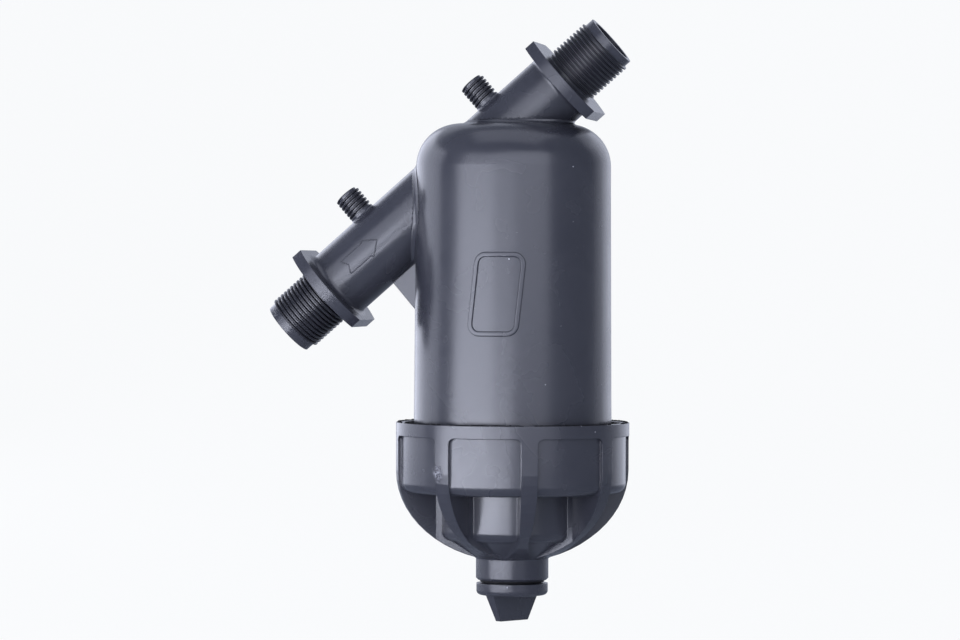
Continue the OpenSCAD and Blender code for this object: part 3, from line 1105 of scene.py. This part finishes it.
PANEL_BEAD = BeadForm(corner=5.2 * MM, foot=3.2 * MM, crest=2.1 * MM, height=0.70 * MM, sink=0.3 * MM,
                      rounding=0.3 * MM, step=0.5 * MM)
ARROW_BEAD = BeadForm(corner=0.1 * MM, foot=0.9 * MM, crest=0.4 * MM, height=0.35 * MM, sink=0.25 * MM,
                      rounding=0.12 * MM, step=0.35 * MM)


@dataclass
class RaisedMarks:
    """The bare panel frame on the body and the flow arrow on the inlet pipe."""

    layout: Layout
    panel_middle_height: float = 69.4 * MM
    panel_middle_arc: float = 0.3 * MM
    panel_width: float = 25.4 * MM
    panel_height: float = 42.0 * MM
    panel_lean: float = 4.6 * MM
    arrow_tail: float = 48.9 * MM
    arrow_neck: float = 64.2 * MM
    arrow_tip: float = 71.9 * MM
    arrow_notch: float = 2.4 * MM
    arrow_angle: float = math.radians(86.0)
    arrow_half: float = 4.4 * MM
    arrow_barb: float = 1.5 * MM

    def build(self, paint: Paint) -> None:
        """Makes both beads.

        Args:
            paint: Where the material comes from.
        """
        tree = BeadTree()
        black = paint.of(SATIN_BLACK)
        self.build_panel(tree, black)
        self.build_arrow(tree, black)

    def build_panel(self, tree: BeadTree, black: bpy.types.Material) -> None:
        """Makes the leaning rounded frame on the front of the body.

        Args:
            tree: The bead tree.
            black: Its material.
        """
        layout = self.layout
        half_w, half_h, lean = self.panel_width / 2, self.panel_height / 2, self.panel_lean / 2
        corners = ((-half_w - lean, -half_h), (half_w - lean, -half_h), (half_w + lean, half_h),
                   (-half_w + lean, half_h))
        turn = Matrix.Rotation(self.panel_middle_arc / layout.body_r, 4, "Z")
        place = Matrix.Translation(layout.bowl + Vector((0.0, 0.0, self.panel_middle_height))) @ turn
        taper = (layout.body_r - layout.body_top_r) / layout.body_height
        piece = tree.make("panel_frame", {
            **PANEL_BEAD.inputs(), "Barrel Radius": layout.body_radius(self.panel_middle_height),
            "Taper": taper, "Material": black}, place, outline_mesh("panel_outline", corners))
        Pieces.hand_over(piece, Body.HOUSING, Slot.BLACK)

    def build_arrow(self, tree: BeadTree, black: bpy.types.Material) -> None:
        """Makes the arrow's outline on the front of the inlet pipe.

        Args:
            tree: The bead tree.
            black: Its material.
        """
        layout = self.layout
        start, neck, tip = self.arrow_tail, self.arrow_neck, self.arrow_tip
        half, barb = self.arrow_half, self.arrow_half + self.arrow_barb
        corners = ((half, start), (half, neck), (barb, neck), (0.0, tip), (-barb, neck), (-half, neck),
                   (-half, start), (0.0, start + self.arrow_notch))
        facing = layout.outward * math.cos(self.arrow_angle) + layout.sideways * math.sin(self.arrow_angle)
        place = aligned(layout.inlet, layout.along, facing)
        piece = tree.make("flow_arrow", {
            **ARROW_BEAD.inputs(), "Barrel Radius": layout.pipe_r, "Taper": 0.0, "Material": black}, place,
            outline_mesh("arrow_outline", corners))
        Pieces.hand_over(piece, Body.HOUSING, Slot.BLACK)


class FlashTree(MadeTree):
    """Tree of thin torn flakes along a circle."""

    CIRCLE_STEPS = 256
    PATCH_SCALE = 60.0
    LEAST_TURN = (-0.4, -0.4, 0.0)
    MOST_TURN = (0.4, 0.4, 6.28)
    LEAST_SIZE = (0.6, 0.4, 0.3)
    MOST_SIZE = (1.7, 0.8, 1.1)

    def __init__(self) -> None:
        """Builds the tree."""
        super().__init__("flash_flakes", {
            "Radius": self.FLOAT, "Count": self.WHOLE, "Share": self.FLOAT, "Flake": self.FLOAT,
            "Seed": self.WHOLE, "Material": self.MATERIAL})
        nodes = self.nodes
        circle = nodes.add("GeometryNodeCurvePrimitiveCircle", {"Resolution": self.CIRCLE_STEPS,
                                                                "Radius": self.value("Radius")})
        points = nodes.add("GeometryNodeCurveToPoints", {"Curve": circle.outputs[0],
                                                         "Count": self.value("Count")}, mode="COUNT")
        place = nodes.add("GeometryNodeInputPosition").outputs[0]
        patch = nodes.add("ShaderNodeTexNoise", {"Vector": place, "Scale": self.PATCH_SCALE,
                                                "Detail": 2.0})
        there = nodes.math("GREATER_THAN", patch.outputs[0], self.value("Share"))
        turn_inputs = {0: self.LEAST_TURN, 1: self.MOST_TURN, "Seed": self.value("Seed")}
        turn = nodes.add("FunctionNodeRandomValue", turn_inputs, data_type="FLOAT_VECTOR")
        later = nodes.math("ADD", self.value("Seed"), 1.0)
        size_inputs = {0: self.LEAST_SIZE, 1: self.MOST_SIZE, "Seed": later}
        size = nodes.add("FunctionNodeRandomValue", size_inputs, data_type="FLOAT_VECTOR")
        flake = nodes.add("GeometryNodeMeshIcoSphere", {"Radius": self.value("Flake"), "Subdivisions": 1})
        flakes = nodes.add("GeometryNodeInstanceOnPoints", {
            "Points": points.outputs[0], "Selection": there, "Instance": flake.outputs[0],
            "Rotation": turn.outputs[0], "Scale": size.outputs[0]})
        self.end(flakes.outputs[0])


@dataclass
class RimFlash:
    """Torn flash along the top edge of the cap's rim."""

    layout: Layout
    rim_r: float = 61.6 * MM
    flake: float = 0.78 * MM
    count: int = 760
    share: float = 0.45
    seed: int = 11

    def build(self, paint: Paint) -> None:
        """Makes the flakes and hands them over.

        Args:
            paint: Where the material comes from.
        """
        piece = FlashTree().make("rim_flash", {
            "Radius": self.rim_r, "Count": self.count, "Share": self.share, "Flake": self.flake,
            "Seed": self.seed, "Material": paint.of(TORN_BLACK)}, Matrix.Translation(self.layout.bowl))
        Pieces.hand_over(piece, Body.CAP, Slot.BLACK)


class CarriedNodes:
    """Gives each solid of the frame its finish."""

    FINISHES = {
        "housing": HOUSING_BLACK, "cap": CAP_BLACK, "drain_plug": SATIN_BLACK, "spine": SHADED_BLACK,
        "end_plate": SHADED_BLACK, "clamp_nut": SHADED_BLACK, "filter_discs": DISC_RED,
        "cap_seal": SEAL_RUBBER, "drain_seal": SEAL_RUBBER, "spine_seal": SEAL_RUBBER,
    }

    @classmethod
    def dress(cls, frame: dict, paint: Paint) -> None:
        """Sets the material slots of the solids.

        Args:
            paint: Where the materials come from.
        """
        for name, solid in frame["nodes"].items():
            material = paint.of(cls.FINISHES[name])
            if not solid.material_slots:
                solid.data.materials.append(material)
            for slot in solid.material_slots:
                slot.material = material
            LOG.info("%s: %s", name, material.name)


@dataclass(frozen=True)
class SoftBox:
    """One soft lamp, placed by the direction that it shines from, in degrees, metres and watts."""

    name: str
    azimuth: float
    elevation: float
    distance: float
    width: float
    height: float
    power: float
    colour: Colour = (0.83, 0.86, 1.0)

    def build(self, target: Vector) -> None:
        """Makes the lamp and points it at the target.

        Args:
            target: The point that it shines at.
        """
        data = bpy.data.lights.new(self.name, "AREA")
        data.shape = "RECTANGLE"
        data.size = self.width
        data.size_y = self.height
        data.energy = self.power
        data.color = self.colour
        lamp = bpy.data.objects.new(self.name, data)
        back = direction(self.azimuth, self.elevation)
        lamp.location = target + back * self.distance
        lamp.rotation_euler = back.to_track_quat("Z", "Y").to_euler()
        bpy.context.scene.collection.objects.link(lamp)


def direction(azimuth: float, elevation: float) -> Vector:
    """Gives the unit vector towards an azimuth, from -Y towards +X, and an elevation, in degrees."""
    a, e = math.radians(azimuth), math.radians(elevation)
    return Vector((math.sin(a) * math.cos(e), -math.cos(a) * math.cos(e), math.sin(e)))


@dataclass
class Studio:
    """Camera, pale sweep, world and lamps."""

    azimuth: float = 10.597
    elevation: float = 0.67
    roll: float = math.radians(0.199)
    distance: float = 2.2
    focal_px: float = 4067.2
    target: Vector = Vector((106.111 * MM, 0.0, 5.297 * MM))
    floor_gap: float = 36.0 * MM
    sweep_back: float = 2.4
    sweep_front: float = 3.2
    sweep_side: float = 3.5
    sweep_height: float = 3.2
    sweep_bend: float = 0.9
    bend_steps: int = 16
    pale: Colour = (0.975, 0.985, 0.995)
    paper_glow: float = 0.95
    paper: Colour = (0.86, 0.87, 0.88)
    floor_tone: Colour = (0.22, 0.25, 0.33)
    backdrop_tone: Colour = (0.66, 0.70, 0.84)
    backdrop_depth: tuple[float, float] = (0.4, 1.6)
    ambient: Colour = (0.22, 0.245, 0.32)
    lamps: tuple[SoftBox, ...] = (
        SoftBox("key_low_box", -36.0, -4.6, 1.0, 0.98, 0.16, 2.3),
        SoftBox("key_middle_box", -33.0, 4.3, 1.0, 0.86, 0.16, 1.75),
        SoftBox("key_high_box", -30.0, 20.5, 1.06, 0.74, 0.44, 1.6),
        SoftBox("floor_strip", -29.0, -12.5, 0.62, 0.93, 0.045, 1.5),
        SoftBox("spill_box", 1.0, -1.4, 1.3, 0.50, 0.26, 0.62),
        SoftBox("fill_box", 22.0, 17.0, 1.8, 2.2, 1.3, 15.5),
        SoftBox("left_rear_box", -119.0, 8.0, 1.6, 2.2, 1.4, 15.0),
        SoftBox("right_rear_box", 155.0, 8.0, 1.6, 1.0, 1.4, 3.2),
        SoftBox("top_box", 0.0, 85.0, 1.6, 1.6, 1.2, 4.5),
    )

    def build(self, floor_z: float) -> None:
        """Builds the whole set.

        Args:
            floor_z: Height of the object's lowest point.
        """
        self.build_camera()
        self.build_world()
        self.build_sweep(floor_z - self.floor_gap)
        for lamp in self.lamps:
            lamp.build(self.target)
        bpy.context.scene.view_settings.view_transform = "Standard"

    def build_camera(self) -> None:
        """Makes the camera at the photograph's angle."""
        back = direction(self.azimuth, self.elevation)
        a = math.radians(self.azimuth)
        right = Vector((math.cos(a), math.sin(a), 0.0))
        up = back.cross(right)
        tilted = right * math.cos(self.roll) + up * math.sin(self.roll)
        upright = up * math.cos(self.roll) - right * math.sin(self.roll)
        data = bpy.data.cameras.new("camera")
        data.sensor_fit = "HORIZONTAL"
        data.sensor_width = SENSOR_WIDTH
        data.lens = self.focal_px * SENSOR_WIDTH / IMAGE_WIDTH
        data.clip_start = 0.05
        data.clip_end = 50.0
        camera = bpy.data.objects.new("camera", data)
        turn = Matrix((tilted, upright, back)).transposed().to_4x4()
        camera.matrix_world = Matrix.Translation(self.target + back * self.distance) @ turn
        bpy.context.scene.collection.objects.link(camera)
        bpy.context.scene.camera = camera

    def build_world(self) -> None:
        """Makes the even light round the object."""
        world = bpy.data.worlds.new("studio_world")
        world.use_nodes = True
        world.node_tree.nodes.clear()
        nodes = Nodes(world.node_tree)
        seen = nodes.add("ShaderNodeLightPath").outputs["Is Camera Ray"]
        colour = nodes.blend(seen, (*self.ambient, 1.0), (*self.pale, 1.0))
        light = nodes.add("ShaderNodeBackground", {"Color": colour})
        nodes.add("ShaderNodeOutputWorld", {"Surface": light.outputs[0]})
        bpy.context.scene.world = world

    def sweep_material(self) -> bpy.types.Material:
        """Makes lit paper that the camera sees as near white, with steady tones of its own in reflections.

        Returns:
            The material of floor and backdrop.
        """
        material = bpy.data.materials.new("pale_sweep")
        material.use_nodes = True
        material.node_tree.nodes.clear()
        nodes = Nodes(material.node_tree)
        rays = nodes.add("ShaderNodeLightPath")
        seen = nodes.math("MAXIMUM", rays.outputs["Is Camera Ray"], rays.outputs["Is Transmission Ray"])
        shown = nodes.math("MULTIPLY", seen, self.paper_glow)
        depth = nodes.add("ShaderNodeSeparateXYZ", {0: nodes.add("ShaderNodeTexCoord").outputs["Object"]})
        far = nodes.span(depth.outputs["Y"], *self.backdrop_depth, 0.0, 1.0)
        mirrored = nodes.blend(far, (*self.floor_tone, 1.0), (*self.backdrop_tone, 1.0))
        factor = nodes.math("MAXIMUM", shown, rays.outputs["Is Glossy Ray"])
        tone = nodes.blend(rays.outputs["Is Glossy Ray"], (*self.pale, 1.0), mirrored)
        paper = nodes.add("ShaderNodeBsdfPrincipled", {"Base Color": (*self.paper, 1.0), "Roughness": 0.9})
        glow = nodes.add("ShaderNodeEmission", {"Color": tone})
        mixed = nodes.add("ShaderNodeMixShader", {0: factor, 1: paper.outputs[0], 2: glow.outputs[0]})
        nodes.add("ShaderNodeOutputMaterial", {"Surface": mixed.outputs[0]})
        return material

    def build_sweep(self, floor_z: float) -> None:
        """Makes the floor and the backdrop as one bent sheet.

        Args:
            floor_z: Height of the floor.
        """
        profile = [(-self.sweep_front, floor_z)]
        for step in range(self.bend_steps + 1):
            angle = math.pi / 2 * step / self.bend_steps
            profile.append((self.sweep_back - self.sweep_bend + self.sweep_bend * math.sin(angle),
                            floor_z + self.sweep_bend * (1.0 - math.cos(angle))))
        profile.append((self.sweep_back, floor_z + self.sweep_height))
        points = [(x, y, z) for y, z in profile for x in (-self.sweep_side, self.sweep_side)]
        faces = [(2 * i, 2 * i + 1, 2 * i + 3, 2 * i + 2) for i in range(len(profile) - 1)]
        mesh = bpy.data.meshes.new("sweep")
        mesh.from_pydata(points, [], faces)
        mesh.materials.append(self.sweep_material())
        for face in mesh.polygons:
            face.use_smooth = True
        sweep = bpy.data.objects.new("sweep", mesh)
        bpy.context.scene.collection.objects.link(sweep)
        sweep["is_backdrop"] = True


def plain(bounds: Sequence[Vector]) -> list[list[float]]:
    """Turns a box into plain lists."""
    return [list(corner) for corner in bounds]


def main() -> None:
    """Builds the pieces in order, with the box of the solids setting the floor's height."""
    logging.basicConfig(level=logging.INFO, format="%(name)s: %(message)s")
    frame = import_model()
    solid_box = plain(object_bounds())
    layout = Layout.from_frame(frame)
    paint = Paint()
    CarriedNodes.dress(frame, paint)
    Threads(layout).build(paint)
    JunctionFillets(layout).build(paint)
    RaisedMarks(layout).build(paint)
    RimFlash(layout).build(paint)
    Studio().build(solid_box[0][2])


if __name__ == "__main__":
    main()
